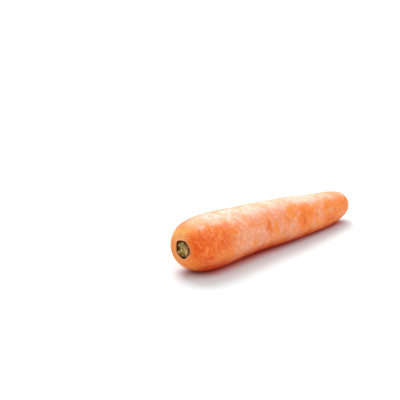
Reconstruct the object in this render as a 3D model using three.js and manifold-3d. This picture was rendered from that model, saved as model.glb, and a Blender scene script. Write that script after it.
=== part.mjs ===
// A trimmed carrot lying on its side: one taproot, and the cut bases of its leaf stalks.
// Millimetres, +Z up. The crown faces -X and the tip +X. The origin is on the surface that the
// carrot lies on, under the middle of its box.

import * as THREE from 'three';
import { mergeVertices } from 'three/addons/utils/BufferGeometryUtils.js';
import Module from 'manifold-3d';

const wasm = await Module();
wasm.setup();

// Driving dimensions of the taproot
const rootLength = 164;
const widestRadius = 17.5;
const roundSegments = 44;
const skinRings = 88;
const endCrowding = 0.35;

// Driving dimensions of the crown: a shoulder that bulges round a socket for the leaf stalks
const shoulderBulge = 0.75;
const shoulderRings = 6;
const socketRadius = 5.7;
const socketDepth = 2.2;
const socketFillet = 0.5;
const lipWidth = 0.35;
const lipHeight = 0.25;

// Driving dimensions of the blunt tip and the scar of its broken tail
const tipRounding = 1.75;
const tipRings = 4;
const tailRadius = 1.2;
const tailLength = 1.05;
const tailEdge = 0.25;

// Clearance between the stalk bases and the socket
const gap = 0.3;

// The skin's radius as a share of the widest, at shares of the root's length from the crown
const skinStations = [0, 0.02, 0.05, 0.10, 0.18, 0.30, 0.45, 0.60, 0.75, 0.86, 0.93, 0.97, 1];
const skinShares = [0.58, 0.744, 0.887, 0.977, 1, 0.928, 0.88, 0.848, 0.752, 0.671, 0.573, 0.455, 0.23];

// The axis: its height over the surface, and its drift to the side, along the root
const heightStations = [0, 0.2, 0.4, 0.6, 0.8, 1];
const heights = [18.0, 17.0, 16.4, 14.3, 12.2, 11.7];
const driftStations = [0, 0.25, 0.5, 0.75, 1];
const drifts = [0.3, 0.2, -0.2, -0.45, 0.15];

// Low swellings of the skin: waves round the root, waves along it, share of the radius. They
// start from a line on the root's upper back, in degrees up from the front
const swellingStart = 113.5;
const swellings = [
  { round: 2, along: 1.4, amount: 0.012 },
  { round: 3, along: 2.2, amount: -0.008 },
  { round: 1, along: 4.5, amount: 0.006 },
];

// Short creases across the root, where side roots broke the skin: place along the root as a
// share, place round it in degrees up from the front, width round it in degrees, depth
const creaseHalfLength = 1.7;
const creases = [
  [0.07, 118, 60, 0.25], [0.128, 68, 58, 0.32], [0.15, 205, 70, 0.36], [0.17, 8, 46, 0.22],
  [0.21, 300, 64, 0.3], [0.241, 66, 50, 0.36], [0.27, 160, 66, 0.36], [0.302, 41, 44, 0.28],
  [0.33, 232, 60, 0.32], [0.36, 336, 52, 0.28], [0.385, 96, 56, 0.32], [0.43, 185, 62, 0.36],
  [0.469, 344, 50, 0.28], [0.50, 28, 52, 0.32], [0.53, 128, 60, 0.36], [0.57, 248, 60, 0.3],
  [0.60, 72, 54, 0.32], [0.64, 352, 48, 0.25], [0.67, 170, 66, 0.34], [0.71, 40, 50, 0.26],
  [0.75, 108, 60, 0.3], [0.79, 222, 66, 0.3], [0.83, 12, 54, 0.22], [0.88, 148, 70, 0.26],
  [0.93, 62, 70, 0.2],
];

// The stalk bases, seen from in front of the crown: where each begins and ends round the socket
// in degrees from its right side, its outer radius, how near it reaches to the middle, how far
// its cut end lies below the shoulder, and how far it leans out
const stalks = [
  { from: 78, to: 180, outer: 4.8, inner: 0.2, sunk: 0.1, lean: 5 },
  { from: -62, to: 74, outer: 4.8, inner: 1.6, sunk: -0.1, lean: 3 },
  { from: 196, to: 292, outer: 5.0, inner: 0.4, sunk: 0.25, lean: 4 },
  { from: 4, to: 52, outer: 5.3, inner: 4.3, sunk: 0.45, lean: 0 },
];
const stalkFloor = 1.0;
const stalkRooting = 0.4;
const stalkBevel = 0.22;
const budRadius = 1.15;
const budSunk = 0.2;

// A smooth curve through values at rising stations
function through(stations, values) {
  const last = stations.length - 1;
  const widths = stations.slice(1).map((station, i) => station - stations[i]);
  const slopes = widths.map((width, i) => (values[i + 1] - values[i]) / width);
  const tangents = stations.map((_, i) => {
    if (i === 0) return slopes[0];
    if (i === last) return slopes[last - 1];
    return (slopes[i - 1] * widths[i] + slopes[i] * widths[i - 1]) / (widths[i] + widths[i - 1]);
  });
  return (place) => {
    let i = 0;
    while (i < last - 1 && place > stations[i + 1]) i += 1;
    const width = widths[i];
    const t = THREE.MathUtils.clamp((place - stations[i]) / width, 0, 1);
    const rest = 1 - t;
    return (1 + 2 * t) * rest * rest * values[i] + t * rest * rest * width * tangents[i]
      + (1 + 2 * rest) * t * t * values[i + 1] - t * t * rest * width * tangents[i + 1];
  };
}

const skinShare = through(skinStations, skinShares);
const axisHeight = through(heightStations, heights);
const axisDrift = through(driftStations, drifts);

// Taproot

// From the lip of the socket over the shoulder, as points of radius and distance from the crown
function shoulder() {
  const lipRadius = socketRadius + lipWidth;
  const crownRadius = widestRadius * skinShares[0];
  return Array.from({ length: shoulderRings }, (_, i) => {
    const t = i / shoulderRings;
    const bulge = shoulderBulge * Math.sin(Math.PI * t) + lipHeight * (1 - t) ** 2;
    return new THREE.Vector2(THREE.MathUtils.lerp(lipRadius, crownRadius, t), -bulge);
  });
}

// Along the skin, with the rings closer together towards both ends
function skin() {
  return Array.from({ length: skinRings }, (_, i) => {
    const t = i / skinRings;
    const share = t - endCrowding * Math.sin(2 * Math.PI * t) / (2 * Math.PI);
    return new THREE.Vector2(widestRadius * skinShare(share), rootLength * share);
  });
}

// Round the blunt tip to the scar of the tail
function tip() {
  const tipRadius = widestRadius * skinShares.at(-1);
  const tailEnd = rootLength + tipRounding + tailLength;
  const rounding = Array.from({ length: tipRings + 1 }, (_, i) => {
    const t = i / tipRings;
    const along = rootLength + tipRounding * (2 * t - t * t);
    return new THREE.Vector2(THREE.MathUtils.lerp(tipRadius, tailRadius, t), along);
  });
  return [
    ...rounding,
    new THREE.Vector2(tailRadius, tailEnd - tailEdge),
    new THREE.Vector2(tailRadius - tailEdge, tailEnd),
    new THREE.Vector2(0, tailEnd),
  ];
}

function rootProfile() {
  return [
    new THREE.Vector2(0, socketDepth),
    new THREE.Vector2(socketRadius / 2, socketDepth),
    new THREE.Vector2(socketRadius - socketFillet, socketDepth),
    new THREE.Vector2(socketRadius, socketDepth - socketFillet),
    new THREE.Vector2(socketRadius, 0),
    ...shoulder(),
    ...skin(),
    ...tip(),
  ];
}

function creaseDepth([share, up, width, depth], along, degrees) {
  const away = (along - share * rootLength) / creaseHalfLength;
  const turn = THREE.MathUtils.euclideanModulo(degrees - up + 180, 360) - 180;
  const reach = Math.abs(turn) / (width / 2);
  return reach >= 1 ? 0 : depth * Math.exp(-away * away) * Math.cos(reach * Math.PI / 2);
}

function swelling({ round, along, amount }, share, degrees) {
  const turn = THREE.MathUtils.degToRad(degrees - swellingStart);
  return amount * Math.sin(round * turn) * Math.cos(2 * Math.PI * along * share);
}

// How far the skin stands from a plain round root, at a distance along it and an angle round it
function relief(along, angle, radius) {
  const share = along / rootLength;
  const degrees = THREE.MathUtils.radToDeg(angle);
  const fadeIn = THREE.MathUtils.smoothstep(share, 0, 0.08);
  const fadeOut = 1 - THREE.MathUtils.smoothstep(share, 0.94, 1);
  const swell = swellings.reduce((sum, wave) => sum + swelling(wave, share, degrees), 0);
  const cut = creases.reduce((sum, crease) => sum + creaseDepth(crease, along, degrees), 0);
  return fadeIn * fadeOut * (radius * swell - cut);
}

// The turned profile gets its relief, then is laid along the axis and flattened where it rests
function taprootGeometry() {
  const turned = new THREE.LatheGeometry(rootProfile(), roundSegments);
  const place = turned.getAttribute('position');
  for (let i = 0; i < place.count; i += 1) {
    const along = place.getY(i);
    const plainRadius = Math.hypot(place.getX(i), place.getZ(i));
    const angle = Math.atan2(-place.getX(i), place.getZ(i));
    const radius = plainRadius + relief(along, angle, plainRadius);
    const share = THREE.MathUtils.clamp(along / rootLength, 0, 1);
    const up = axisHeight(share) + radius * Math.sin(angle);
    place.setXYZ(i, along, axisDrift(share) - radius * Math.cos(angle), Math.max(up, 0));
  }
  turned.computeVertexNormals();
  return turned;
}

// Leaf-stalk bases

function solid(geometry) {
  geometry.deleteAttribute('normal');
  geometry.deleteAttribute('uv');
  const closed = mergeVertices(geometry, 1e-4);
  return new wasm.Manifold(new wasm.Mesh({
    numProp: 3,
    vertProperties: new Float32Array(closed.getAttribute('position').array),
    triVerts: new Uint32Array(closed.index.array),
  }));
}

function fromSolid(fused) {
  const mesh = fused.getMesh();
  const geometry = new THREE.BufferGeometry();
  geometry.setAttribute('position', new THREE.BufferAttribute(mesh.vertProperties, 3));
  geometry.setIndex(new THREE.BufferAttribute(mesh.triVerts, 1));
  geometry.computeVertexNormals();
  return geometry;
}

// A stalk's base is a crescent: an arc near the socket's wall, and a hollow side to the middle
function stalkOutline({ from, to, outer, inner }) {
  const start = THREE.MathUtils.degToRad(from);
  const end = THREE.MathUtils.degToRad(to);
  const middle = (start + end) / 2;
  const outline = new THREE.Shape();
  outline.absarc(0, 0, outer - stalkBevel, start, end, false);
  outline.quadraticCurveTo(
    inner * Math.cos(middle),
    inner * Math.sin(middle),
    (outer - stalkBevel) * Math.cos(start),
    (outer - stalkBevel) * Math.sin(start),
  );
  return outline;
}

// Extrusions stand on the socket's floor and point out of the crown, with the shape's right side
// to -Y and its top to +Z
function standInSocket(geometry) {
  const outOfCrown = new THREE.Matrix4().makeBasis(
    new THREE.Vector3(0, -1, 0),
    new THREE.Vector3(0, 0, 1),
    new THREE.Vector3(-1, 0, 0),
  );
  return geometry.applyMatrix4(outOfCrown);
}

function stalkSolid(stalk) {
  const foot = stalkFloor + stalkRooting;
  const geometry = new THREE.ExtrudeGeometry(stalkOutline(stalk), {
    depth: foot - stalk.sunk - 2 * stalkBevel,
    curveSegments: 9,
    bevelSize: stalkBevel,
    bevelThickness: stalkBevel,
    bevelSegments: 2,
  });
  geometry.translate(0, 0, stalkBevel - foot);
  const middle = THREE.MathUtils.degToRad((stalk.from + stalk.to) / 2);
  const hinge = new THREE.Vector3(-Math.sin(middle), Math.cos(middle), 0);
  geometry.applyMatrix4(new THREE.Matrix4().makeRotationAxis(hinge, THREE.MathUtils.degToRad(stalk.lean) / 2));
  return solid(standInSocket(geometry));
}

function stalkPlug() {
  const radius = socketRadius - gap;
  const foot = socketDepth - gap;
  const profile = [
    new THREE.Vector2(0, -foot),
    new THREE.Vector2(radius - socketFillet, -foot),
    new THREE.Vector2(radius, -foot + socketFillet),
    new THREE.Vector2(radius - 0.15, -stalkFloor - 0.1),
    new THREE.Vector2(radius - 0.5, -stalkFloor),
    new THREE.Vector2(0, -stalkFloor),
  ];
  return solid(standInSocket(new THREE.LatheGeometry(profile, 36).rotateX(Math.PI / 2)));
}

function bud() {
  const geometry = new THREE.SphereGeometry(budRadius, 14, 10);
  geometry.scale(1, 1.25, (stalkFloor - budSunk) / budRadius);
  geometry.translate(0.25, -0.5, -stalkFloor);
  return solid(standInSocket(geometry));
}

function stalkBasesGeometry() {
  const fused = stalks.reduce((sum, stalk) => sum.add(stalkSolid(stalk)), stalkPlug().add(bud()));
  return fromSolid(fused).translate(0, drifts[0], heights[0]);
}

// The carrot

const orangeSkin = new THREE.MeshStandardMaterial({ color: 0xec7a3c, roughness: 0.5, metalness: 0 });
const greenBrownStalk = new THREE.MeshStandardMaterial({ color: 0x8a7848, roughness: 0.85, metalness: 0 });

const taproot = new THREE.Mesh(taprootGeometry(), orangeSkin);
taproot.name = 'taproot';

const stalkBases = new THREE.Mesh(stalkBasesGeometry(), greenBrownStalk);
stalkBases.name = 'leaf_stalk_stubs';

const carrot = new THREE.Group();
carrot.add(taproot, stalkBases);

const box = new THREE.Box3().setFromObject(carrot, true);
const boxMiddle = box.getCenter(new THREE.Vector3());
carrot.position.set(-boxMiddle.x, -boxMiddle.y, -box.min.z);

export default carrot;
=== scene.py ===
import math
import random

import bmesh
import bpy
import numpy as np
from bpy.props import FloatProperty, FloatVectorProperty, IntProperty, PointerProperty
from mathutils import Euler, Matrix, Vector, noise


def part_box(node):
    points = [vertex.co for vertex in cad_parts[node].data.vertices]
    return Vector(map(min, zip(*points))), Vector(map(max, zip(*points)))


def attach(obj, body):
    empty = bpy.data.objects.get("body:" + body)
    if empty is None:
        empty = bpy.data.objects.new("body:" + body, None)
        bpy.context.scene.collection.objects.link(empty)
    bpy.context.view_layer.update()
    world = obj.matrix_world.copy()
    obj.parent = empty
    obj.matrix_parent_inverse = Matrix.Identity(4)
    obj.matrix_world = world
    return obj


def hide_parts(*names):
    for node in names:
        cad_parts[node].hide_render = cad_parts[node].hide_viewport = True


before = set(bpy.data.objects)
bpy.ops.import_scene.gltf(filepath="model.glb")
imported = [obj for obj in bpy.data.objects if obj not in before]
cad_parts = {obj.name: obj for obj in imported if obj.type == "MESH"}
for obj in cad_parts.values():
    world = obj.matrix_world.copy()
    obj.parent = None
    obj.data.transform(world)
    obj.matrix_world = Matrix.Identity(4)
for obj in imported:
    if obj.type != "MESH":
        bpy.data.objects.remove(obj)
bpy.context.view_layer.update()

bl_info = {
    "name": "Trimmed carrot",
    "version": (1, 0, 0),
    "blender": (4, 5, 0),
    "location": "View3D > Sidebar > Carrot",
    "description": "A trimmed carrot on a pale studio floor: its root, its cut leaf stalks and the stage",
    "category": "Add Mesh",
}

# All lengths are in metres. The root runs along X from the crown to the tip.
MM = 0.001
ROOT_NODE = "taproot"
STALK_NODE = "leaf_stalk_stubs"

# Form of the root, the same as in the solids: the skin's radius as a share of the widest one, the
# height of the axis and its drift to the side, each at stations given as shares of the length
SKIN_STATIONS = (0, 0.02, 0.05, 0.10, 0.18, 0.30, 0.45, 0.60, 0.75, 0.86, 0.93, 0.97, 1)
SKIN_SHARES = (0.58, 0.744, 0.887, 0.977, 1, 0.928, 0.88, 0.848, 0.752, 0.671, 0.573, 0.455, 0.23)
HEIGHT_STATIONS = (0, 0.2, 0.4, 0.6, 0.8, 1)
HEIGHTS = (18.0 * MM, 17.0 * MM, 16.4 * MM, 14.3 * MM, 12.2 * MM, 11.7 * MM)
DRIFT_STATIONS = (0, 0.25, 0.5, 0.75, 1)
DRIFTS = (0.3 * MM, 0.2 * MM, -0.2 * MM, -0.45 * MM, 0.15 * MM)
# Slight swellings: waves round the root, waves along it, height as a share of the radius
SWELLING_START = 113.5
SWELLINGS = ((2, 1.4, 0.012), (3, 2.2, -0.008), (1, 4.5, 0.006))
SWELLING_FADES = (0.08, 0.94)
# Creases across the skin: place along the root as a share, place round it in degrees up from the
# front, width round it in degrees, depth in millimetres
CREASE_HALF_LENGTH = 1.7 * MM
CREASES = (
    (0.07, 118, 60, 0.25), (0.128, 68, 58, 0.32), (0.15, 205, 70, 0.36), (0.17, 8, 46, 0.22),
    (0.21, 300, 64, 0.3), (0.241, 66, 50, 0.36), (0.27, 160, 66, 0.36), (0.302, 41, 44, 0.28),
    (0.33, 232, 60, 0.32), (0.36, 336, 52, 0.28), (0.385, 96, 56, 0.32), (0.43, 185, 62, 0.36),
    (0.469, 344, 50, 0.28), (0.50, 28, 52, 0.32), (0.53, 128, 60, 0.36), (0.57, 248, 60, 0.3),
    (0.60, 72, 54, 0.32), (0.64, 352, 48, 0.25), (0.67, 170, 66, 0.34), (0.71, 40, 50, 0.26),
    (0.75, 108, 60, 0.3), (0.79, 222, 66, 0.3), (0.83, 12, 54, 0.22), (0.88, 148, 70, 0.26),
    (0.93, 62, 70, 0.2),
)
CREASE_LINE = 0.35 * MM
DEEPEST_CREASE = 0.36

# Fine relief that the solids leave out. The lumps are sunk, so they stay inside the solids.
RELIEF_FADE_IN = (0.0, 0.05)
LUMP_SCALE = 70.0
LUMP_HEIGHT = 0.12 * MM
LUMP_SINK = 0.6
GRAIN_SCALE = 260.0
GRAIN_SQUEEZE = (1.5, 1, 1)
GRAIN_HEIGHT = 0.04 * MM
CREASE_LINE_DEPTH = 0.16 * MM
CREASE_LINE_WANDER = 0.5 * MM
SLITS = 230
SLIT_SEED = 7
SLIT_FADE_IN = (0.02, 0.08)
SLIT_DEPTH = 0.07 * MM
# How dark a slit is beside a crease's line
SLIT_MARK = 0.7
# Steps of this many degrees spread marks evenly round the root
GOLDEN_TURN = 137.5
# The wavy rim of the socket: waves round it, phase, height as a share of the waviness
RIM_WAVINESS = 0.22 * MM
RIM_REACH = 1.2 * MM
RIM_WAVES = ((3, 0.6, 1.0), (5, 2.0, 0.8), (1, 0.35 + math.pi / 2, 1.5))

# Patches of the skin's colour: place along the root as a share, place round it in degrees up from
# the front, half length along it in millimetres, half width round it in degrees, strength
PALE_PATCHES = (
    (0.052, 59, 3.2, 12, 1.0), (0.11, 84, 10, 16, 0.5), (0.23, 78, 15, 18, 0.8),
    (0.265, 8, 12.5, 40, 1.0), (0.20, -26, 9, 20, 0.8), (0.36, -4, 12, 46, 1.0),
    (0.34, 54, 13, 22, 0.8), (0.46, 44, 12, 28, 1.0), (0.50, 4, 11, 34, 0.9),
    (0.55, -30, 12, 20, 0.8), (0.60, 66, 14, 16, 0.7), (0.68, -8, 3.5, 30, 0.9),
    (0.72, 20, 4, 24, 0.9), (0.80, 17, 4, 16, 1.0), (0.13, -34, 5, 14, 0.5),
    (0.18, 62, 8, 12, 0.5), (0.24, 46, 12, 16, 0.9), (0.42, 24, 4, 14, 0.8),
    (0.375, 33, 5, 14, 0.8), (0.325, 38, 5, 12, 0.7), (0.72, 42, 24, 26, 0.45),
    (0.42, 58, 14, 10, 0.6), (0.86, 60, 14, 20, 0.6), (0.56, 30, 8, 16, 0.6),
    (0.185, 10, 5, 24, 0.8), (0.90, 32, 8, 16, 0.5),
)
DEEP_PATCHES = (
    (0.008, 16, 5, 56, 0.9), (0.035, 38, 4, 20, 1.0), (0.062, 27, 8, 20, 0.9),
    (0.145, 42, 8, 16, 0.65), (0.12, 14, 8, 22, 0.8), (0.05, -14, 7, 28, 0.9),
    (0.07, 3, 8, 18, 0.7), (0.10, -40, 9, 18, 0.9), (0.20, 44, 6, 10, 0.4),
    (0.383, 22, 2.4, 15, 0.6), (0.395, 6, 2, 8, 0.6), (0.605, 5, 3.5, 38, 0.65),
    (0.64, 30, 6, 18, 0.3), (0.60, 48, 6, 12, 0.2), (0.78, 25, 8, 24, 0.15),
    (0.80, -12, 8, 16, 0.6), (0.90, 10, 10, 50, 0.15), (0.66, -28, 6, 14, 0.6),
)
SCUFFS = (
    (0.247, 20, 6, 24, 1.0), (0.725, 15, 5, 30, 1.0), (0.085, 34, 6, 18, 0.5),
    (0.07, -28, 6, 16, 0.6), (0.33, 24, 8, 30, 0.5), (0.16, 20, 7, 20, 0.5),
    (0.052, 59, 3.2, 12, 1.0), (0.80, 13, 2.6, 12, 0.6),
)
# Kinds of patches, with the number and the seed of those on the hidden side, and where that side
# starts and how wide it is, in degrees
PATCH_KINDS = (
    ("pale_patch", PALE_PATCHES, 34, 3), ("deep_patch", DEEP_PATCHES, 34, 11), ("scuff", SCUFFS, 12, 19),
)
HIDDEN_SIDE_START = 125
HIDDEN_SIDE_WIDTH = 165
# Noise that gives the patches uneven edges, along the root and in degrees round it
WANDER_SCALE = 150.0
WANDER = 2.2 * MM
SWAY = 9
# The pale band along the top, partly dried skin and partly a painted highlight: its middle and reach
# in degrees, the shares of that reach between which it fades out, and the shares of the root between
# which it fades in, and out towards the tip
HIGHLIGHT_AND_DRY_TOP = 84
HIGHLIGHT_AND_DRY_REACH = 42
HIGHLIGHT_AND_DRY_EDGE = (0.2, 1.12)
HIGHLIGHT_AND_DRY_FADE_IN = (0.0, 0.12)
HIGHLIGHT_AND_DRY_FADE_OUT = (0.7, 0.95)
HIGHLIGHT_AND_DRY_LOSS_AT_TIP = 0.6
# Where the band of dried skin and painted highlight comes farther down the front: share, spread as a
# share, degrees
HIGHLIGHT_AND_DRY_DIPS = ((0.21, 0.06, 12), (0.36, 0.06, 5), (0.92, 0.06, 10))
# The collar of tan skin is wide behind, over and under the socket, and narrow in front of it
COLLAR_REACH = 9.5 * MM
COLLAR_LOSS_IN_FRONT = 8.3 * MM
COLLAR_FRONT = (0.35, 0.85)
COLLAR_SOLID_SHARE = 0.2
COLLAR_WANDER = 0.8 * MM
SHOULDER_STEEPNESS = 1.2
# The yellower, lighter skin over the socket: partly its own colour, partly painted light on the crown's
# top; its middle in degrees, and where it fades out
CROWN_GLOW_MIDDLE = 112
CROWN_GLOW_SWAY = 8
CROWN_GLOW_SIDES = (0.4, 0.95)
CROWN_GLOW_EDGE = (2 * MM, 19 * MM)
CROWN_GLOW_WANDER = 2.5 * MM
# The underside, darker and redder towards the bottom as painted shade: degrees from straight down between
# which it fades out
UNDERSIDE_EDGE = (36, 74)
UNDERSIDE_FADE_IN = (0.0, 0.06)
UNDERSIDE_SWAY = 6

# Form of the crown and the tip, the same as in the solids
SHOULDER_BULGE = 0.75 * MM
SOCKET_RADIUS = 5.7 * MM
SOCKET_DEPTH = 2.2 * MM
SOCKET_FILLET = 0.5 * MM
LIP_WIDTH = 0.35 * MM
LIP_HEIGHT = 0.25 * MM
# All skin farther along than this lies outside the socket
BEHIND_SOCKET = SOCKET_DEPTH + MM
# The pale ring on the lip, the angle in degrees where it is palest, and how much less pale it gets
LIP_RING_RADIUS = SOCKET_RADIUS + 0.45 * MM
LIP_RING_WIDTH = 0.4 * MM
LIP_RING_PALEST = -25
LIP_RING_LOSS = 0.35
# Painted shade on the socket's wall, darker deeper in: it starts at the first of these depths and is
# darkest at the second
WALL_TOP = 0.2 * MM
WALL_DARKEST = 0.5 * MM
TIP_ROUNDING = 1.75 * MM
TAIL_RADIUS = 1.2 * MM
TAIL_LENGTH = 1.05 * MM
TAIL_EDGE = 0.25 * MM
TAIL_SCAR_START = 0.9

# Stalk bases, seen from in front of the crown: from and to in degrees round the socket, outer
# radius, reach to the middle, depth of the cut end, width of the raised edge, in millimetres
STALKS = (
    (72, 168, 4.3, 0.1, 0.15, 0.45), (-62, 34, 5.2, 1.0, -0.1, 0.5), (38, 68, 4.6, 1.6, 0.2, 0.3),
    (208, 284, 4.9, 0.2, 0.2, 0.5), (10, 44, 5.4, 4.7, 0.6, 0.2), (212, 230, 5.5, 4.2, 0.1, 0.2),
)
STALK_CLEARANCE = 0.1
STALK_ROOTING = 0.4 * MM
STALK_HOLLOW = 0.4 * MM
# Lumps of the torn stalk bases: right and up from the socket's middle, reach, height, in millimetres.
# A negative height is a pit. All heights are then scaled.
STALK_LUMPS = (
    (-1.4, 1.5, 1.3, 0.25), (-0.4, 3.3, 0.9, 0.12), (-0.9, -1.1, 0.8, 0.38), (-2.0, -2.0, 0.7, 0.32),
    (-3.2, -2.9, 0.7, 0.30), (2.3, 0.3, 1.1, 0.28), (3.0, -2.0, 1.3, 0.22), (0.6, 1.6, 0.7, 0.16),
    (1.1, -0.6, 0.5, -0.3), (-1.3, -3.4, 0.6, -0.22), (0.9, -3.2, 0.7, -0.25), (1.5, 3.1, 0.6, -0.3),
    (-3.1, 0.0, 0.8, -0.3), (2.9, 2.4, 0.5, -0.35), (-2.4, 3.4, 0.6, -0.3), (-0.5, 0.3, 0.5, -0.15),
    (2.4, 1.5, 0.5, -0.2), (3.9, 0.9, 0.4, -0.3),
)
STALK_LUMP_SCALE = 1.9
# The plug that the stalk bases stand on, and the low dome and the bud on it: subdivisions, radius,
# stretch, place aside and up
PLUG_CLEARANCE = 0.3 * MM
PLUG_TAPER = 0.5 * MM
STALK_BALLS = (
    (4, 3.6 * MM, (0.18, 1, 1.1), -0.5 * MM, 0), (3, 1.1 * MM, (0.7, 1, 1.2), 0.5 * MM, -0.8 * MM),
)
# Relief of the cut ends, which fades out between these depths in the socket
CUT_END_DEPTHS = (1.5 * MM, 0.6 * MM)
STALK_LUMP_NOISE = 900.0
CUT_END_ROUGHNESS = 0.16 * MM
FIBRE_NOISE = 3200.0
FIBRE_STRETCH = (0.15, 1, 1)
FIBRE_HEIGHT = 0.07 * MM
STALK_SHRINKAGE = 0.012
# Colours of the stalk bases: right and up from the socket's middle, reach, in millimetres, strength
STALK_SPOTS = {
    "green": ((-1.6, 1.6, 2.2, 1.0), (-0.4, 3.4, 1.4, 0.8)),
    "tan": ((2.6, 0.6, 1.9, 1.0), (3.3, -2.4, 1.9, 1.0)),
    "olive": ((-1.4, -3.2, 1.5, 1.0), (0.3, -2.2, 1.0, 0.7)),
    "pale": (
        (-0.9, -1.0, 0.9, 1.0), (-2.0, -1.8, 0.6, 0.9), (-3.1, -2.8, 0.6, 0.8), (2.2, 0.4, 0.8, 1.0),
        (2.7, -1.2, 0.8, 0.5), (-1.9, 2.1, 0.5, 0.5), (-0.6, 1.2, 0.5, 0.6), (1.4, 1.7, 0.5, 0.5),
    ),
}
# Painted shade in the gap round the stalk bases: its middle, between which radii it darkens, and where
# a base that touches the wall keeps it light
GAP_MIDDLE = (0.3 * MM, -0.1 * MM)
GAP_RADII = (4.35 * MM, 5.0 * MM)
GAP_WAVINESS = 0.4 * MM
LIGHT_SPOT = (-3.6, -3.2, 1.2)
LIGHT_SPOT_STRENGTH = 0.9
# Painted shade: the depths between which the cut ends darken, and how dark the gap and the pits get
DARK_DEPTHS = (0.55 * MM, 1.1 * MM)
GAP_DARKNESS = 0.98
PIT_DARKNESS = 0.85

# Stage. The camera's lens and sensor are in millimetres.
AIM = (44.95 * MM, 104.4 * MM, -0.1 * MM)
CAMERA_LENS = 100
CAMERA_SENSOR = 36
# Lights: azimuth and elevation as for the camera, and spread, all in degrees, strength, colour
LIGHTS = (
    ("softbox behind", 148.0, 51.0, 44.0, 3.1, (1.0, 0.99, 0.985)),
    ("softbox overhead", -50.0, 66.0, 80.0, 1.02, (1.0, 1.0, 1.0)),
    ("fill from the front", 6.0, 46.0, 110.0, 0.88, (1.0, 1.0, 1.0)),
)
# The sky's light, and how bright it is where the camera sees it behind the floor
SKY_COLOUR = (0.88, 0.95, 1, 1)
SKY_STRENGTH = 0.345
SEEN_BACKGROUND = 1.25
# The strip of floor painted with red bounce light and contact shadow from the root, narrower towards the
# tip
GLOW_MIDDLE = 3 * MM
GLOW_HALF_LENGTH = 64 * MM
GLOW_REACH = 13.5 * MM
GLOW_NARROWING = -0.045
LEAST_GLOW_REACH = 8 * MM
GLOW_CORE = 0.12
FLOOR_SQUARES = 8


class CarrotRootSettings(bpy.types.PropertyGroup):
    """Sizes and colours of the root"""

    length: FloatProperty(
        name="Length", description="From the crown's face to the start of the blunt tip",
        default=164 * MM, unit="LENGTH",
    )
    widest_radius: FloatProperty(
        name="Widest radius", description="Radius of the skin at its widest, near the crown",
        default=17.5 * MM, unit="LENGTH",
    )
    rings: IntProperty(name="Rings", description="Rings of faces along the skin", default=360)
    segments: IntProperty(name="Segments", description="Faces round the root", default=240)
    orange: FloatVectorProperty(
        name="Orange", description="Colour of clean skin", default=(0.93, 0.25, 0.034),
        subtype="COLOR",
    )
    deep_orange: FloatVectorProperty(
        name="Deep orange", description="Colour of the richest patches", default=(0.75, 0.060, 0.0),
        subtype="COLOR",
    )
    peach: FloatVectorProperty(
        name="Peach", description="Colour of scuffed, dry skin", default=(0.87, 0.315, 0.172),
        subtype="COLOR",
    )
    fleck: FloatVectorProperty(
        name="Fleck", description="Colour of the driest flecks", default=(0.95, 0.56, 0.36),
        subtype="COLOR",
    )
    # Partly the colour of dried skin, partly a painted highlight along the top
    highlight_and_dry_cream: FloatVectorProperty(
        name="Dry cream", description="Colour of the dried skin along the top", default=(0.95, 0.69, 0.58),
        subtype="COLOR",
    )


class CarrotStalkSettings(bpy.types.PropertyGroup):
    """Sizes and colours of the cut stalk bases"""

    floor_depth: FloatProperty(
        name="Floor depth", description="Depth of the plug that the stalk bases stand on",
        default=1.0 * MM, unit="LENGTH",
    )
    voxel: FloatProperty(
        name="Voxel", description="Size of the cells that fuse the bases", default=0.09 * MM, unit="LENGTH",
    )
    green: FloatVectorProperty(
        name="Green", description="Colour of the freshest base", default=(0.30, 0.245, 0.085),
        subtype="COLOR",
    )
    tan: FloatVectorProperty(
        name="Tan", description="Colour of the dried base", default=(0.60, 0.36, 0.15), subtype="COLOR",
    )
    olive: FloatVectorProperty(
        name="Olive", description="Colour of the lowest base", default=(0.48, 0.25, 0.025), subtype="COLOR",
    )


class CarrotStageSettings(bpy.types.PropertyGroup):
    """Camera, floor and lights"""

    azimuth: FloatProperty(
        name="Azimuth", description="Side that the camera looks from", default=math.radians(-47.13),
        subtype="ANGLE",
    )
    elevation: FloatProperty(
        name="Elevation", description="Angle of the camera over the floor", default=math.radians(16.5),
        subtype="ANGLE",
    )
    distance: FloatProperty(
        name="Distance", description="From the camera to the point it aims at", default=828.89 * MM,
        unit="LENGTH",
    )
    floor_width: FloatProperty(
        name="Floor width", description="Side of the square floor", default=12.0, unit="LENGTH",
    )
    floor_colour: FloatVectorProperty(
        name="Floor", description="Colour of the floor", default=(0.757, 0.79, 0.80), subtype="COLOR",
    )
    # Painted red bounce light and contact shadow on the floor along the root
    painted_glow_colour: FloatVectorProperty(
        name="Glow", description="Colour of the floor where the root's underside shines on it",
        default=(0.96, 0.15, 0.08), subtype="COLOR",
    )


# Curves and masks

def through(stations, values):
    """A smooth curve through values at rising stations, for whole arrays of places."""
    knots = np.array(stations, float)
    heights = np.array(values, float)
    widths = np.diff(knots)
    slopes = np.diff(heights) / widths
    inner = (slopes[:-1] * widths[1:] + slopes[1:] * widths[:-1]) / (widths[1:] + widths[:-1])
    tangents = np.concatenate([slopes[:1], inner, slopes[-1:]])

    def curve(place):
        place = np.clip(place, knots[0], knots[-1])
        i = np.clip(np.searchsorted(knots, place, side="left") - 1, 0, len(widths) - 1)
        t = (place - knots[i]) / widths[i]
        rest = 1 - t
        return (
            (1 + 2 * t) * rest ** 2 * heights[i] + t * rest ** 2 * widths[i] * tangents[i]
            + (1 + 2 * rest) * t ** 2 * heights[i + 1] - t ** 2 * rest * widths[i] * tangents[i + 1]
        )

    return curve


skin_share = through(SKIN_STATIONS, SKIN_SHARES)
axis_height = through(HEIGHT_STATIONS, HEIGHTS)
axis_drift = through(DRIFT_STATIONS, DRIFTS)


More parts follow.
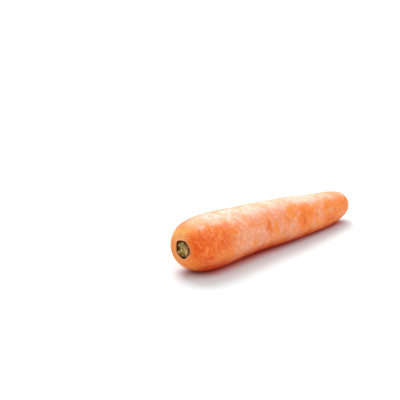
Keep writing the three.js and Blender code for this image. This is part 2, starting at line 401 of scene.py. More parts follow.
def smoothstep(low, high, value):
    """0 at low and before it, 1 at high and past it, and a smooth step between them."""
    t = np.clip((value - low) / (high - low), 0, 1)
    return t * t * (3 - 2 * t)


def turn_between(degrees, centre):
    """Angle from centre, between -180 and 180."""
    return (degrees - centre + 180) % 360 - 180


# The root's mesh

def root_profile(settings):
    """Points of (distance along, radius) from the middle of the socket to the middle of the tail."""
    crown_radius = settings.widest_radius * SKIN_SHARES[0]
    lip_radius = SOCKET_RADIUS + LIP_WIDTH
    quarters = (0.25, 0.5, 0.75, 1.0)
    floor_steps = (0.3, 0.6, 0.85, 1.0)
    points = [(SOCKET_DEPTH, 0.0)]
    points += [(SOCKET_DEPTH, (SOCKET_RADIUS - SOCKET_FILLET) * t) for t in floor_steps]
    for t in quarters:
        turn = t * math.pi / 2
        points.append((
            SOCKET_DEPTH - SOCKET_FILLET * (1 - math.cos(turn)),
            SOCKET_RADIUS - SOCKET_FILLET * (1 - math.sin(turn)),
        ))
    points += [((SOCKET_DEPTH - SOCKET_FILLET) * (1 - t), SOCKET_RADIUS) for t in quarters]
    # Two points round off the lip: how far up it they are, and how far across it
    for rise, across in ((0.3, 0.2), (0.7, 0.6)):
        height = LIP_HEIGHT * math.sin(rise * math.pi / 2)
        points.append((-height, SOCKET_RADIUS + LIP_WIDTH * across))
    shoulder_rings = 14
    for i in range(shoulder_rings):
        t = i / shoulder_rings
        bulge = SHOULDER_BULGE * math.sin(math.pi * t) + LIP_HEIGHT * (1 - t) ** 2
        points.append((-bulge, lip_radius + (crown_radius - lip_radius) * t))
    skin_start = len(points)
    end_crowding = 0.35
    for i in range(settings.rings):
        t = i / settings.rings
        share = t - end_crowding * math.sin(2 * math.pi * t) / (2 * math.pi)
        points.append((settings.length * share, settings.widest_radius * float(skin_share(share))))
    rounded_before = 10
    rounded_after = 26
    points = rounded(points, skin_start - rounded_before, skin_start + rounded_after)
    tip_radius = settings.widest_radius * SKIN_SHARES[-1]
    tip_rings = 10
    for i in range(tip_rings + 1):
        t = i / tip_rings
        points.append((
            settings.length + TIP_ROUNDING * (2 * t - t * t),
            tip_radius + (TAIL_RADIUS - tip_radius) * t,
        ))
    tail_end = settings.length + TIP_ROUNDING + TAIL_LENGTH
    waist_place = 0.7
    waist = 0.93
    points += [
        (tail_end - waist_place * TAIL_LENGTH, TAIL_RADIUS * waist),
        (tail_end - TAIL_EDGE, TAIL_RADIUS),
        (tail_end, TAIL_RADIUS - TAIL_EDGE),
        (tail_end, TAIL_RADIUS / 2),
        (tail_end, 0.0),
    ]
    return points


def rounded(points, first, last):
    """The outline with its bend between two of its points rounded off."""
    line = np.array(points)
    passes = 30
    for _ in range(passes):
        between = (line[first - 1:last - 1] + line[first + 1:last + 1]) / 2
        line[first:last] = (line[first:last] + between) / 2
    return [tuple(point) for point in line]


def spun_profile(points, segments):
    """A closed solid of revolution round X."""
    bm = bmesh.new()
    verts = [bm.verts.new((along, 0, radius)) for along, radius in points]
    edges = [bm.edges.new(pair) for pair in zip(verts, verts[1:])]
    bmesh.ops.spin(
        bm, geom=verts + edges, cent=(0, 0, 0), axis=(1, 0, 0), angle=2 * math.pi, steps=segments,
        use_merge=True,
    )
    seam_width = 1e-7
    bmesh.ops.remove_doubles(bm, verts=bm.verts, dist=seam_width)
    bmesh.ops.recalc_face_normals(bm, faces=bm.faces)
    return bm


def crease_marks(along, degrees, length):
    """How deep the creases are at each place, and the thin dark lines in them, between 0 and 1."""
    depths = np.zeros_like(along)
    lines = np.zeros_like(along)
    waves = 5
    for share, up, width, depth in CREASES:
        away = (along - share * length) / CREASE_HALF_LENGTH
        reach = np.abs(turn_between(degrees, up)) / (width / 2)
        depths += np.where(reach < 1, depth * MM * np.exp(-away ** 2) * np.cos(reach * math.pi / 2), 0)
        phase = up * 3
        wander = CREASE_LINE_WANDER * np.sin(np.radians(degrees * waves + phase))
        off_line = (along - share * length - wander) / CREASE_LINE
        fade = np.clip(1 - reach, 0, 1) ** 2
        lines = np.maximum(lines, depth / DEEPEST_CREASE * fade * np.exp(-off_line ** 2))
    return depths, lines


def spaced_share(draw, i, count, margin):
    """The place of mark i of count along the root, as a share: evenly spaced, then moved by a draw."""
    return margin + (1 - 2 * margin) * (i + draw.random()) / count


def slit_marks(along, degrees, length):
    """Many short fine slits across the skin, between 0 and 1."""
    draw = random.Random(SLIT_SEED)
    total = np.zeros_like(along)
    cut_off = 4
    for i in range(SLITS):
        share = spaced_share(draw, i, SLITS, margin=0.03)
        up = i * GOLDEN_TURN + draw.uniform(-20, 20)
        width = draw.uniform(5, 20)
        half_length = draw.uniform(0.22, 0.4) * MM
        strength = draw.uniform(0.3, 1.0)
        near = np.abs(along - share * length) < cut_off * half_length
        away = (along[near] - share * length) / half_length
        reach = np.abs(turn_between(degrees[near], up)) / (width / 2)
        mark = strength * np.clip(1 - reach ** 2, 0, 1) * np.exp(-away ** 2)
        total[near] = np.maximum(total[near], mark)
    return total


def patches(along, degrees, length, places):
    """A soft mask of patches, between 0 and 1."""
    total = np.zeros_like(along)
    for share, up, half_length, half_width, strength in places:
        away = (along - share * length) / (half_length * MM)
        reach = turn_between(degrees, up) / half_width
        total = np.maximum(total, strength * np.exp(-(away ** 2 + reach ** 2)))
    return total


def hidden_side_patches(seed, count):
    """Patches of the same kind, drawn by a seeded rule for the sides that face away."""
    draw = random.Random(seed)
    places = []
    for i in range(count):
        share = spaced_share(draw, i, count, margin=0.04)
        up = HIDDEN_SIDE_START + (i * GOLDEN_TURN) % HIDDEN_SIDE_WIDTH
        places.append((share, up, draw.uniform(3, 12), draw.uniform(12, 34), draw.uniform(0.5, 1.0)))
    return tuple(places)


def noise_field(places, scale, octaves=3):
    """Layered noise at each place, about -1 to 1."""
    return np.array([noise.fractal(Vector(place) * scale, 1.0, 2.0, octaves) for place in places])


def vertex_places(mesh):
    """The places of the mesh's vertices, a row for each."""
    flat = np.empty(len(mesh.vertices) * 3)
    mesh.vertices.foreach_get("co", flat)
    return flat.reshape(-1, 3)


def move_vertices(mesh, places):
    """Puts each vertex of the mesh at its row's place."""
    mesh.vertices.foreach_set("co", places.ravel())
    mesh.update()


def add_mask(mesh, name, values):
    """A value between 0 and 1 at each vertex, for a material to read."""
    layer = mesh.attributes.new(name, "FLOAT", "POINT")
    layer.data.foreach_set("value", np.clip(values, 0, 1).astype(np.float32))


def finished_mesh(bm, name):
    """The mesh that was built, with its working data freed."""
    mesh = bpy.data.meshes.new(name)
    bm.to_mesh(mesh)
    bm.free()
    return mesh


def new_object(name, data):
    """An object of the scene, at the origin."""
    item = bpy.data.objects.new(name, data)
    bpy.context.scene.collection.objects.link(item)
    return item


def mesh_object(name, mesh, material):
    """A smooth-shaded object with one material."""
    mesh.materials.append(material)
    mesh.polygons.foreach_set("use_smooth", [True] * len(mesh.polygons))
    return new_object(name, mesh)


def root_shift(settings):
    """Where the crown's face lies along X in the frame."""
    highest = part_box(ROOT_NODE)[1]
    return highest[0] - (settings.length + TIP_ROUNDING + TAIL_LENGTH)


def build_root(settings):
    """The root's mesh in its place, and how far it was moved aside to centre it."""
    mesh = finished_mesh(spun_profile(root_profile(settings), settings.segments), "carrot_root")
    plain = vertex_places(mesh)
    along = plain[:, 0]
    plain_radius = np.hypot(plain[:, 1], plain[:, 2])
    angle = np.arctan2(plain[:, 2], -plain[:, 1])
    degrees = np.degrees(angle)
    share = np.clip(along / settings.length, 0, 1)
    outside = (plain_radius > SOCKET_RADIUS + LIP_WIDTH) | (along > BEHIND_SOCKET)

    turn = np.radians(degrees - SWELLING_START)
    swell = sum(
        amount * np.sin(waves * turn) * np.cos(2 * math.pi * repeats * share)
        for waves, repeats, amount in SWELLINGS
    )
    fade_in, fade_out = SWELLING_FADES
    fade = smoothstep(0, fade_in, share) * (1 - smoothstep(fade_out, 1, share))
    creases, lines = crease_marks(along, degrees, settings.length)
    lines *= outside
    slits = slit_marks(along, degrees, settings.length) * outside * smoothstep(*SLIT_FADE_IN, share)
    lumps = noise_field(plain, LUMP_SCALE)
    grain = noise_field(plain * np.array(GRAIN_SQUEEZE), GRAIN_SCALE)
    radius = plain_radius + fade * (plain_radius * swell - creases)
    radius += outside * smoothstep(*RELIEF_FADE_IN, share) * (
        LUMP_HEIGHT * (lumps - LUMP_SINK) + GRAIN_HEIGHT * grain
        - CREASE_LINE_DEPTH * lines - SLIT_DEPTH * slits
    )
    rim = np.exp(-((plain_radius - SOCKET_RADIUS) / RIM_REACH) ** 2) * (along < BEHIND_SOCKET)
    waves = sum(height * np.sin(count * angle + phase) for count, phase, height in RIM_WAVES)
    radius += rim * RIM_WAVINESS * waves

    placed = np.empty_like(plain)
    placed[:, 0] = along + root_shift(settings)
    placed[:, 1] = axis_drift(share) - radius * np.cos(angle)
    placed[:, 2] = np.maximum(axis_height(share) + radius * np.sin(angle), 0)
    side_shift = -(placed[:, 1].min() + placed[:, 1].max()) / 2
    placed[:, 1] += side_shift
    move_vertices(mesh, placed)

    paint_root(mesh, settings, plain, degrees, outside, np.maximum(lines, SLIT_MARK * slits))
    return mesh, side_shift


def paint_root(mesh, settings, plain, degrees, outside, marks):
    """The masks that the skin's material reads."""
    length = settings.length
    along = plain[:, 0]
    plain_radius = np.hypot(plain[:, 1], plain[:, 2])
    share = along / length
    wander = noise_field(plain, WANDER_SCALE)
    other_noise = np.array([0.4, 0.3, 0.2])
    sway = noise_field(plain + other_noise, WANDER_SCALE)
    drawn_along = along + WANDER * wander
    drawn_degrees = degrees + SWAY * sway
    for name, places, hidden_count, seed in PATCH_KINDS:
        all_places = places + hidden_side_patches(seed, hidden_count)
        add_mask(mesh, name, patches(drawn_along, drawn_degrees, length, all_places))
    add_mask(mesh, "crease_line", marks)

    # The band along the top: partly dried skin, partly a painted highlight
    dip = sum(turn * np.exp(-((share - middle) / spread) ** 2) for middle, spread, turn in HIGHLIGHT_AND_DRY_DIPS)
    off_top = np.abs(turn_between(drawn_degrees + dip, HIGHLIGHT_AND_DRY_TOP)) / HIGHLIGHT_AND_DRY_REACH
    ends = smoothstep(*HIGHLIGHT_AND_DRY_FADE_IN, share) * (1 - HIGHLIGHT_AND_DRY_LOSS_AT_TIP * smoothstep(*HIGHLIGHT_AND_DRY_FADE_OUT, share))
    add_mask(mesh, "dry_top_and_highlight", outside * ends * (1 - smoothstep(*HIGHLIGHT_AND_DRY_EDGE, off_top)))

    front = 0.5 + 0.5 * np.cos(np.radians(degrees))
    reach = COLLAR_REACH - COLLAR_LOSS_IN_FRONT * smoothstep(*COLLAR_FRONT, front)
    off_socket = plain_radius - SOCKET_RADIUS + SHOULDER_STEEPNESS * np.maximum(along, 0)
    off_socket += COLLAR_WANDER * wander
    collar = 1 - smoothstep(COLLAR_SOLID_SHARE * reach, reach, off_socket)
    add_mask(mesh, "crown_collar", outside * collar)
    # Partly yellower skin, partly painted light on the crown's top
    upward = np.cos(np.radians(degrees + CROWN_GLOW_SWAY * sway - CROWN_GLOW_MIDDLE))
    near_socket = 1 - smoothstep(*CROWN_GLOW_EDGE, off_socket + CROWN_GLOW_WANDER * wander)
    add_mask(mesh, "crown_glow", outside * near_socket * smoothstep(*CROWN_GLOW_SIDES, upward))
    # Painted shade: darker, redder skin towards the bottom
    straight_down = -90
    below = np.abs(turn_between(degrees + UNDERSIDE_SWAY * wander, straight_down))
    low = 1 - smoothstep(*UNDERSIDE_EDGE, below)
    add_mask(mesh, "underside", outside * smoothstep(*UNDERSIDE_FADE_IN, share) * low)

    off_ring = (plain_radius - LIP_RING_RADIUS) / LIP_RING_WIDTH
    lip_inner_edge = 0.05 * MM
    ring = np.exp(-off_ring ** 2) * (along < lip_inner_edge)
    paleness = 1 - LIP_RING_LOSS + LIP_RING_LOSS * np.cos(np.radians(degrees - LIP_RING_PALEST))
    add_mask(mesh, "socket_lip", ring * paleness)
    # Painted shade on the socket's wall, darker deeper in
    inside_wall = (~outside) & (along > WALL_TOP)
    add_mask(mesh, "socket_wall", inside_wall * smoothstep(0.0, WALL_DARKEST, along))
    tail_start = length + TAIL_SCAR_START * TIP_ROUNDING
    add_mask(mesh, "tail_scar", smoothstep(tail_start, length + TIP_ROUNDING + TAIL_LENGTH, along))


# The stalk bases' mesh

def crescent(start, end, outer, inner):
    """Outline of a stalk's base: an arc near the wall and a hollow curve on the middle's side."""
    first = math.radians(start)
    last = math.radians(end)
    middle = (first + last) / 2
    arc_steps = 18
    points = []
    for i in range(arc_steps + 1):
        angle = first + (last - first) * i / arc_steps
        points.append(Vector((outer * math.cos(angle), outer * math.sin(angle))))
    control = Vector((inner * math.cos(middle), inner * math.sin(middle)))
    back_steps = 12
    for i in range(1, back_steps):
        t = i / back_steps
        points.append(points[arc_steps] * (1 - t) ** 2 + control * 2 * t * (1 - t) + points[0] * t ** 2)
    return points


def raise_stalk(bm, outline, foot, top, edge_width, hollow):
    """A prism out of the crown from foot to top, with a raised edge round a hollow cut end."""
    verts = [bm.verts.new((foot, -point.x, point.y)) for point in outline]
    face = bm.faces.new(verts)
    grown = bmesh.ops.extrude_face_region(bm, geom=[face])["geom"]
    top_verts = [item for item in grown if isinstance(item, bmesh.types.BMVert)]
    top_faces = [item for item in grown if isinstance(item, bmesh.types.BMFace)]
    bmesh.ops.translate(bm, vec=(top - foot, 0, 0), verts=top_verts)
    bmesh.ops.inset_region(bm, faces=top_faces, thickness=edge_width, depth=0, use_even_offset=True)
    sunk = {vert for item in top_faces for vert in item.verts}
    bmesh.ops.translate(bm, vec=(hollow, 0, 0), verts=list(sunk))


def add_ball(bm, subdivisions, radius, stretch, place):
    """A stretched ball."""
    verts = bmesh.ops.create_icosphere(bm, subdivisions=subdivisions, radius=radius)["verts"]
    bmesh.ops.scale(bm, vec=stretch, verts=verts)
    bmesh.ops.translate(bm, vec=place, verts=verts)


def build_stalks(settings):
    """Overlapping solids: the plug that fills the socket, the stalk bases, a low dome and the bud."""
    bm = bmesh.new()
    plug_top = settings.floor_depth
    plug_foot = SOCKET_DEPTH - PLUG_CLEARANCE
    foot = plug_top + STALK_ROOTING
    plug = bmesh.ops.create_cone(
        bm, cap_ends=True, segments=72, radius1=SOCKET_RADIUS - PLUG_CLEARANCE,
        radius2=SOCKET_RADIUS - PLUG_CLEARANCE - PLUG_TAPER, depth=plug_foot - plug_top,
    )["verts"]
    bmesh.ops.rotate(bm, verts=plug, cent=(0, 0, 0), matrix=Euler((0, -math.pi / 2, 0)).to_matrix())
    bmesh.ops.translate(bm, vec=((plug_foot + plug_top) / 2, 0, 0), verts=plug)
    for start, end, outer, inner, sunk, edge in STALKS:
        outline = crescent(start, end, (outer - STALK_CLEARANCE) * MM, inner * MM)
        raise_stalk(bm, outline, foot, sunk * MM, edge * MM, STALK_HOLLOW)
    for subdivisions, radius, stretch, aside, up in STALK_BALLS:
        add_ball(bm, subdivisions, radius, stretch, (plug_top, aside, up))
    bmesh.ops.recalc_face_normals(bm, faces=bm.faces)
    return finished_mesh(bm, "carrot_stalk_blocks")


def fused(mesh, voxel):
    """One closed skin round overlapping solids."""
    block = new_object("carrot_stalk_blocks", mesh)
    remesh = block.modifiers.new("Fuse", "REMESH")
    remesh.mode = "VOXEL"
    remesh.voxel_size = voxel
    graph = bpy.context.evaluated_depsgraph_get()
    result = bpy.data.meshes.new_from_object(block.evaluated_get(graph))
    bpy.data.objects.remove(block)
    bpy.data.meshes.remove(mesh)
    return result


def finish_stalks(mesh, crown_place):
    """Rough, fibrous cut ends, the masks of their colours and of their painted shade, and their place in
    the crown.
    """
    bm = bmesh.new()
    bm.from_mesh(mesh)
    bmesh.ops.smooth_vert(
        bm, verts=bm.verts, factor=0.5, use_axis_x=True, use_axis_y=True, use_axis_z=True,
    )
    bm.to_mesh(mesh)
    bm.free()
    place = vertex_places(mesh)
    right = -place[:, 1]
    up = place[:, 2]
    lumps = noise_field(place, STALK_LUMP_NOISE)
    fibres = noise_field(place * np.array(FIBRE_STRETCH), FIBRE_NOISE, octaves=2)

    def spot(centre_right, centre_up, reach):
        away = ((right - centre_right * MM) ** 2 + (up - centre_up * MM) ** 2) / (reach * MM) ** 2
        return np.exp(-away)

    raised = sum(
        STALK_LUMP_SCALE * height * MM * spot(x, y, reach) for x, y, reach, height in STALK_LUMPS
    )
    pits = sum(spot(x, y, reach) for x, y, reach, height in STALK_LUMPS if height < 0)
    out = place.copy()
    out[:, 0] += smoothstep(*CUT_END_DEPTHS, place[:, 0]) * (
        CUT_END_ROUGHNESS * lumps + FIBRE_HEIGHT * fibres - raised
    )
    squeeze = 1 - STALK_SHRINKAGE * (lumps + 1)
    out[:, 1] *= squeeze
    out[:, 2] *= squeeze

    for name, spots in STALK_SPOTS.items():
        add_mask(mesh, name, np.maximum.reduce([strength * spot(*where) for *where, strength in spots]))
    # Painted shade deeper in the socket, in the gap round the bases and in the pits
    off_middle = np.hypot(right - GAP_MIDDLE[0], up - GAP_MIDDLE[1])
    gap = smoothstep(*GAP_RADII, off_middle + GAP_WAVINESS * lumps)
    gap *= 1 - LIGHT_SPOT_STRENGTH * spot(*LIGHT_SPOT)
    depth = smoothstep(*DARK_DEPTHS, out[:, 0])
    add_mask(mesh, "deep", np.maximum.reduce([depth, GAP_DARKNESS * gap, PIT_DARKNESS * pits]))
    move_vertices(mesh, out + np.array(crown_place))


# Shader helpers

def feed(tree, socket, value):
    """Links a socket, or sets a number or colour on it."""
    if isinstance(value, bpy.types.NodeSocket):
        tree.links.new(value, socket)
    elif hasattr(value, "__len__") and len(value) == 3 and socket.type == "RGBA":
        socket.default_value = (*value, 1)
    else:
        socket.default_value = value


# Places of the colour sockets among the Mix node's inputs and outputs
MIX_INPUTS = (0, 6, 7)
MIX_RESULT = 2


def mixed(tree, factor, first, second, blend="MIX"):
    """Colour between first and second by factor. Each is a socket or a colour."""
    node = tree.nodes.new("ShaderNodeMix")
    node.data_type = "RGBA"
    node.blend_type = blend
    for index, value in zip(MIX_INPUTS, (factor, first, second)):
        feed(tree, node.inputs[index], value)
    return node.outputs[MIX_RESULT]


def calculated(tree, operation, first, second=0.0, third=0.0, clamp=False):
    """The result of one step of arithmetic."""
    node = tree.nodes.new("ShaderNodeMath")
    node.operation = operation
    node.use_clamp = clamp
    for socket, value in zip(node.inputs, (first, second, third)):
        feed(tree, socket, value)
    return node.outputs[0]


def times(tree, first, second):
    """First multiplied by second."""
    return calculated(tree, "MULTIPLY", first, second)


def added(tree, value, share, base):
    """Base plus a share of value."""
    return calculated(tree, "MULTIPLY_ADD", value, share, base)


def ranged(tree, value, low, high, to_low=0.0, to_high=1.0):
    """Value taken smoothly from one range to another."""
    node = tree.nodes.new("ShaderNodeMapRange")
    node.interpolation_type = "SMOOTHSTEP"
    names = ("Value", "From Min", "From Max", "To Min", "To Max")
    for name, item in zip(names, (value, low, high, to_low, to_high)):
        feed(tree, node.inputs[name], item)
    return node.outputs["Result"]


def grey_of(tree, value):
    """The same value in all three channels."""
    node = tree.nodes.new("ShaderNodeCombineColor")
    for socket in node.inputs:
        feed(tree, socket, value)
    return node.outputs[0]


def mask(tree, name):
    """One of the masks that the mesh carries."""
    node = tree.nodes.new("ShaderNodeAttribute")
    node.attribute_name = name
    return node.outputs["Fac"]


def streaks_group():
    """Noise on Object coordinates, stretched, as a mask between two limits."""
    name = "Stretched mottle"
    if name in bpy.data.node_groups:
        return bpy.data.node_groups[name]
    tree = bpy.data.node_groups.new(name, "ShaderNodeTree")
    stretch = tree.interface.new_socket(name="Stretch", in_out="INPUT", socket_type="NodeSocketVector")
    stretch.default_value = (1, 1, 1)
    for label, value in (
        ("Scale", 100.0), ("Detail", 3.0), ("Roughness", 0.55), ("Distortion", 0.0), ("Low", 0.4),
        ("High", 0.6),
    ):
        socket = tree.interface.new_socket(name=label, in_out="INPUT", socket_type="NodeSocketFloat")
        socket.default_value = value
    for label in ("Mask", "Height"):
        tree.interface.new_socket(name=label, in_out="OUTPUT", socket_type="NodeSocketFloat")
    given = tree.nodes.new("NodeGroupInput")
    result = tree.nodes.new("NodeGroupOutput")
    place = tree.nodes.new("ShaderNodeTexCoord")
    stretched = tree.nodes.new("ShaderNodeVectorMath")
    stretched.operation = "MULTIPLY"
    tree.links.new(place.outputs["Object"], stretched.inputs[0])
    tree.links.new(given.outputs["Stretch"], stretched.inputs[1])
    cloud = tree.nodes.new("ShaderNodeTexNoise")
    tree.links.new(stretched.outputs[0], cloud.inputs["Vector"])
    for label in ("Scale", "Detail", "Roughness", "Distortion"):
        tree.links.new(given.outputs[label], cloud.inputs[label])
    limited = ranged(tree, cloud.outputs["Fac"], given.outputs["Low"], given.outputs["High"])
    tree.links.new(limited, result.inputs["Mask"])
    tree.links.new(cloud.outputs["Fac"], result.inputs["Height"])
    return tree


def mottle(tree, output="Mask", **values):
    """The stretched mottle placed in a material with its own values."""
    node = tree.nodes.new("ShaderNodeGroup")
    node.node_tree = streaks_group()
    for name, value in values.items():
        node.inputs[name.capitalize()].default_value = value
    return node.outputs[output]


def new_material(name):
    """A material, its node tree and its shader."""
    material = bpy.data.materials.new(name)
    material.use_nodes = True
    tree = material.node_tree
    return material, tree, tree.nodes["Principled BSDF"]


def bumped(tree, height, strength, distance, below=None):
    """A normal tilted by a height, on top of the one below."""
    node = tree.nodes.new("ShaderNodeBump")
    node.inputs["Strength"].default_value = strength
    node.inputs["Distance"].default_value = distance
    tree.links.new(height, node.inputs["Height"])
    if below is not None:
        tree.links.new(below, node.inputs["Normal"])
    return node.outputs["Normal"]


def layered(tree, colour, layers):
    """Colour with layers over it. Each has a place, its greatest share there, and a colour."""
    for place, share, tint in layers:
        colour = mixed(tree, times(tree, place, share), colour, tint)
    return colour


def skin_material(settings):
    """Orange skin with scuffed patches, specks, pores and creases, a top band that is partly dried skin and
    partly a painted highlight, painted light on the crown's top, and painted shade on the underside and in
    the socket.
    """
    material, tree, shader = new_material("carrot skin")
    blotches = mottle(
        tree, scale=150.0, detail=5.0, stretch=(1.1, 0.9, 0.9), roughness=0.66, distortion=0.6,
        low=0.45, high=0.565,
    )
    specks = mottle(
        tree, scale=420.0, detail=4.0, stretch=(1.1, 0.95, 0.95), roughness=0.7, low=0.53, high=0.61,
    )
    pores = mottle(tree, scale=600.0, stretch=(1.2, 0.9, 0.9), roughness=0.65, low=0.58, high=0.68)
    scratches = mottle(
        tree, scale=520.0, stretch=(1.7, 0.65, 0.65), roughness=0.65, distortion=0.8,
        low=0.48, high=0.58,
    )
    grain = mottle(tree, scale=1500.0, detail=2.0, stretch=(1.2, 0.9, 0.9), low=0.3, high=0.7)
    deep_patch = mask(tree, "deep_patch")
    dry_top_and_highlight = mask(tree, "dry_top_and_highlight")

    # How scuffed the skin is: more in the pale patches and blotches, less in the deep patches
    patch_share = 0.84
    blotch_share = 0.42
    deep_share = -0.85
    least_pale = -0.13
    pale = added(tree, mask(tree, "pale_patch"), patch_share, least_pale)
    pale = added(tree, blotches, blotch_share, pale)
    pale = added(tree, deep_patch, deep_share, pale)
    first_peach = 0.05
    full_peach = 0.90
    scuffed = ranged(tree, pale, first_peach, full_peach)

    # The richest orange is thinned by blotches, by specks and by the top band of dried skin and painted
    # highlight
    blotch_thinning = -0.35
    speck_thinning = -0.4
    rich = times(tree, deep_patch, added(tree, blotches, blotch_thinning, 1.0))
    rich = times(tree, rich, calculated(tree, "SUBTRACT", 1.0, dry_top_and_highlight))
    rich = times(tree, rich, added(tree, specks, speck_thinning, 1.0))
    # The top band: partly dried skin, partly a painted highlight
    least_dry_and_highlight = 0.45
    blotch_dryness_and_highlight = 0.35
    dried = times(tree, dry_top_and_highlight, added(tree, blotches, blotch_dryness_and_highlight, least_dry_and_highlight))
    # Specks show most where the skin is scuffed, and least in the deep patches
    speck_share = 0.28
    deep_speck_share = -0.20
    scuffed_speck_share = 0.30
    flecked = added(tree, deep_patch, deep_speck_share, speck_share)
    flecked = added(tree, scuffed, scuffed_speck_share, flecked)
    colour = layered(tree, settings.orange, (
        (rich, 1.0, settings.deep_orange), (scuffed, 1.0, settings.peach),
        # Partly dried skin, partly a painted highlight along the top
        (dried, 1.0, settings.highlight_and_dry_cream), (specks, flecked, settings.fleck),
        (times(tree, scratches, mask(tree, "scuff")), 0.55, settings.fleck),
        # The last layer is painted shade: dark red towards the bottom
        (pores, 0.55, (0.70, 0.10, 0.012)), (mask(tree, "underside"), 0.9, (0.60, 0.035, 0.003)),
    ))
    darkest_grain = 0.95
    lightest_grain = 1.03
    shade = ranged(tree, grain, 0.0, 1.0, darkest_grain, lightest_grain)
    colour = mixed(tree, 1.0, colour, grey_of(tree, shade), "MULTIPLY")
    uneven = added(tree, blotches, 0.35, 0.55)
    colour = layered(tree, colour, (
        (mask(tree, "crown_collar"), uneven, (0.90, 0.29, 0.065)),
        # Partly yellower skin, partly painted light on the crown's top
        (mask(tree, "crown_glow"), uneven, (0.97, 0.44, 0.14)),
        (mask(tree, "crease_line"), 0.75, (0.45, 0.14, 0.05)),
        (mask(tree, "socket_lip"), 0.75, (0.82, 0.44, 0.25)),
        # Painted shade on the socket's wall
        (mask(tree, "socket_wall"), 1.0, (0.13, 0.032, 0.0)),
        (mask(tree, "tail_scar"), 0.8, (0.35, 0.13, 0.04)),
    ))
    tree.links.new(colour, shader.inputs["Base Color"])

    smoothest = 0.42
    scuffed_roughness = 0.55
    matte_share = 0.4
    roughness = ranged(tree, scuffed, 0.0, 1.0, smoothest, scuffed_roughness)
    roughness = added(tree, mask(tree, "socket_wall"), matte_share, roughness)
    underside = mask(tree, "underside")
    roughness = calculated(tree, "MULTIPLY_ADD", underside, matte_share, roughness, clamp=True)
    tree.links.new(roughness, shader.inputs["Roughness"])
    shader.inputs["Specular IOR Level"].default_value = 0.14
    wrinkle_height = mottle(
        tree, "Height", scale=380.0, detail=4.0, stretch=(1.4, 0.75, 0.75), roughness=0.6, distortion=0.5,
    )
    grain_height = mottle(tree, "Height", scale=1500.0, stretch=(1.2, 0.9, 0.9))
    normal = bumped(tree, wrinkle_height, 0.3, 0.35 * MM)
    normal = bumped(tree, grain_height, 0.35, 0.12 * MM, normal)
    tree.links.new(normal, shader.inputs["Normal"])
    shader.inputs["Subsurface Weight"].default_value = 0.15
    shader.inputs["Subsurface Radius"].default_value = (1.0, 0.30, 0.08)
    shader.inputs["Subsurface Scale"].default_value = 2.0 * MM
    return material


def stalk_material(settings):
    """Green, tan and olive cut ends with pale fibres, and painted shade in the pockets, the gap and the
    pits.
    """
    material, tree, shader = new_material("cut stalk")
    fibres = mottle(tree, scale=2200.0, stretch=(0.2, 1.0, 1.0), low=0.35, high=0.65)
    blotches = mottle(tree, scale=900.0, low=0.50, high=0.60)
    dull_brown = (0.27, 0.15, 0.045)
    pale_fibre = (0.72, 0.55, 0.22)
    dry_brown = (0.16, 0.07, 0.015)
    pocket_shade = (0.13, 0.036, 0.0)
    colour = layered(tree, dull_brown, (
        (mask(tree, "green"), 1.0, settings.green), (mask(tree, "tan"), 1.0, settings.tan),
        (mask(tree, "olive"), 1.0, settings.olive), (mask(tree, "pale"), 0.9, pale_fibre),
        (fibres, 0.2, pale_fibre), (blotches, 0.5, dry_brown), (mask(tree, "deep"), 1.0, pocket_shade),
    ))
    tree.links.new(colour, shader.inputs["Base Color"])
    tree.links.new(ranged(tree, fibres, 0.0, 1.0, 0.7, 0.9), shader.inputs["Roughness"])
    shader.inputs["Specular IOR Level"].default_value = 0.08
    fibre_height = mottle(tree, "Height", scale=2600.0, stretch=(0.2, 1.0, 1.0))
    tree.links.new(bumped(tree, fibre_height, 0.6, 0.15 * MM), shader.inputs["Normal"])
    return material


def under_root(tree):
    """The strip of the floor along the root that gets painted red bounce light and contact shadow, as a
    mask.
    """
    place = tree.nodes.new("ShaderNodeTexCoord")
    parts = tree.nodes.new("ShaderNodeSeparateXYZ")
    tree.links.new(place.outputs["Object"], parts.inputs[0])
    forward = parts.outputs["X"]
    aside = parts.outputs["Y"]
    away = calculated(tree, "ABSOLUTE", calculated(tree, "ADD", forward, -GLOW_MIDDLE))
    past_end = calculated(tree, "MAXIMUM", calculated(tree, "SUBTRACT", away, GLOW_HALF_LENGTH), 0.0)
    distance = calculated(tree, "SQRT", added(tree, aside, aside, times(tree, past_end, past_end)))
    reach = calculated(tree, "MAXIMUM", added(tree, forward, GLOW_NARROWING, GLOW_REACH), LEAST_GLOW_REACH)
    return ranged(tree, calculated(tree, "DIVIDE", distance, reach), GLOW_CORE, 1.0, 1.0, 0.0)


def floor_material(settings):
    """A matte, nearly even pale floor, with painted red bounce light and contact shadow along the root."""
    material, tree, shader = new_material("studio floor")
    clouds = mottle(tree, scale=3.0, detail=2.0, low=0.2, high=0.8)
    cloud_lightening = 1.02
    paler = tuple(min(1.0, value * cloud_lightening) for value in settings.floor_colour)
    colour = mixed(tree, clouds, settings.floor_colour, paler)
    # Painted red bounce light and contact shadow along the root
    colour = mixed(tree, under_root(tree), colour, settings.painted_glow_colour)
    tree.links.new(colour, shader.inputs["Base Color"])
    shader.inputs["Roughness"].default_value = 0.25
    shader.inputs["Specular IOR Level"].default_value = 0.0
    return material


# Stage

def towards(azimuth, elevation):
    """The direction of something seen from the middle of the frame; azimuth 0 is the front."""
    return Vector((
        math.sin(azimuth) * math.cos(elevation),
        -math.cos(azimuth) * math.cos(elevation),
        math.sin(elevation),
    ))


def add_camera(settings):
    """The camera, aimed so that the picture matches the photo."""
    back = towards(settings.azimuth, settings.elevation)
    data = bpy.data.cameras.new("camera")
    data.lens = CAMERA_LENS
    data.sensor_width = CAMERA_SENSOR
    data.clip_start = 0.05
    data.clip_end = 50
    camera = new_object("camera", data)
    camera.location = Vector(AIM) + back * settings.distance
    camera.rotation_euler = back.to_track_quat("Z", "Y").to_euler()
    bpy.context.scene.camera = camera


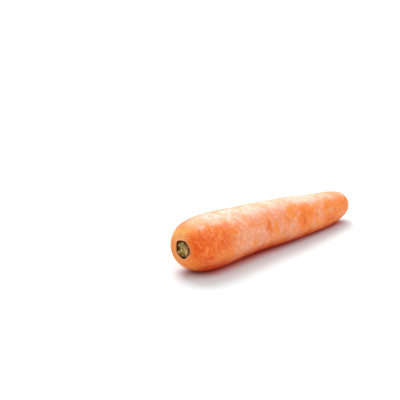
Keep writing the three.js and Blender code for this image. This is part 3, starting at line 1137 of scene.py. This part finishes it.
def add_sun(name, azimuth, elevation, spread, strength, colour):
    """Even light from one side: azimuth and elevation in degrees, as for the camera."""
    data = bpy.data.lights.new(name, "SUN")
    data.angle = math.radians(spread)
    data.energy = strength
    data.color = colour
    lamp = new_object(name, data)
    lamp.location = towards(math.radians(azimuth), math.radians(elevation))
    lamp.rotation_euler = lamp.location.to_track_quat("Z", "Y").to_euler()


def add_world():
    """Even light from all round, brighter where the camera sees the sky itself."""
    world = bpy.data.worlds.new("studio")
    world.use_nodes = True
    tree = world.node_tree
    background = tree.nodes["Background"]
    background.inputs["Color"].default_value = SKY_COLOUR
    ray = tree.nodes.new("ShaderNodeLightPath")
    seen = added(tree, ray.outputs["Is Camera Ray"], SEEN_BACKGROUND - SKY_STRENGTH, SKY_STRENGTH)
    tree.links.new(seen, background.inputs["Strength"])
    bpy.context.scene.world = world


# Operators

class CARROT_OT_stage(bpy.types.Operator):
    """Set the pale floor, the soft lights and the camera"""

    bl_idname = "carrot.stage"
    bl_label = "Set the stage"

    def execute(self, context):
        settings = context.scene.carrot_stage
        bm = bmesh.new()
        bmesh.ops.create_grid(
            bm, x_segments=FLOOR_SQUARES, y_segments=FLOOR_SQUARES, size=settings.floor_width / 2,
        )
        mesh = finished_mesh(bm, "studio_floor")
        floor = mesh_object("studio_floor", mesh, floor_material(settings))
        add_camera(settings)
        add_world()
        for light in LIGHTS:
            add_sun(*light)
        context.scene.view_settings.view_transform = "Standard"
        return {"FINISHED"}


class CARROT_OT_root(bpy.types.Operator):
    """Model the taproot with its crown, creases and blunt tip"""

    bl_idname = "carrot.root"
    bl_label = "Model the root"

    def execute(self, context):
        settings = context.scene.carrot_root
        mesh, side_shift = build_root(settings)
        piece = mesh_object("carrot_root", mesh, skin_material(settings))
        context.scene.carrot_side_shift = side_shift
        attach(piece, "root")
        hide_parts(ROOT_NODE)
        return {"FINISHED"}


class CARROT_OT_stalks(bpy.types.Operator):
    """Model the cut leaf-stalk bases in the crown's socket"""

    bl_idname = "carrot.stalks"
    bl_label = "Model the stalk bases"

    def execute(self, context):
        settings = context.scene.carrot_stalks
        mesh = fused(build_stalks(settings), settings.voxel)
        crown_place = (
            root_shift(context.scene.carrot_root),
            DRIFTS[0] + context.scene.carrot_side_shift,
            HEIGHTS[0],
        )
        finish_stalks(mesh, crown_place)
        piece = mesh_object("carrot_stalk_bases", mesh, stalk_material(settings))
        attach(piece, "root")
        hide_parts(STALK_NODE)
        return {"FINISHED"}


class CARROT_PT_panel(bpy.types.Panel):
    """The carrot's operators and settings"""

    bl_label = "Carrot"
    bl_idname = "CARROT_PT_panel"
    bl_space_type = "VIEW_3D"
    bl_region_type = "UI"
    bl_category = "Carrot"

    def draw(self, context):
        layout = self.layout
        for operator in (CARROT_OT_stage, CARROT_OT_root, CARROT_OT_stalks):
            layout.operator(operator.bl_idname)
        scene = context.scene
        for settings in (scene.carrot_root, scene.carrot_stalks, scene.carrot_stage):
            for name in settings.__annotations__:
                layout.prop(settings, name)


CLASSES = (
    CarrotRootSettings, CarrotStalkSettings, CarrotStageSettings,
    CARROT_OT_stage, CARROT_OT_root, CARROT_OT_stalks, CARROT_PT_panel,
)


def register():
    for item in CLASSES:
        bpy.utils.register_class(item)
    bpy.types.Scene.carrot_root = PointerProperty(type=CarrotRootSettings)
    bpy.types.Scene.carrot_stalks = PointerProperty(type=CarrotStalkSettings)
    bpy.types.Scene.carrot_stage = PointerProperty(type=CarrotStageSettings)
    bpy.types.Scene.carrot_side_shift = FloatProperty(
        name="Side shift", description="How far the root is moved to the side to centre it",
        default=0.0, unit="LENGTH",
    )


def unregister():
    del bpy.types.Scene.carrot_side_shift
    del bpy.types.Scene.carrot_stage
    del bpy.types.Scene.carrot_stalks
    del bpy.types.Scene.carrot_root
    for item in reversed(CLASSES):
        bpy.utils.unregister_class(item)


def main():
    register()
    bpy.ops.carrot.stage()
    bpy.ops.carrot.root()
    bpy.ops.carrot.stalks()


if __name__ == "__main__":
    main()
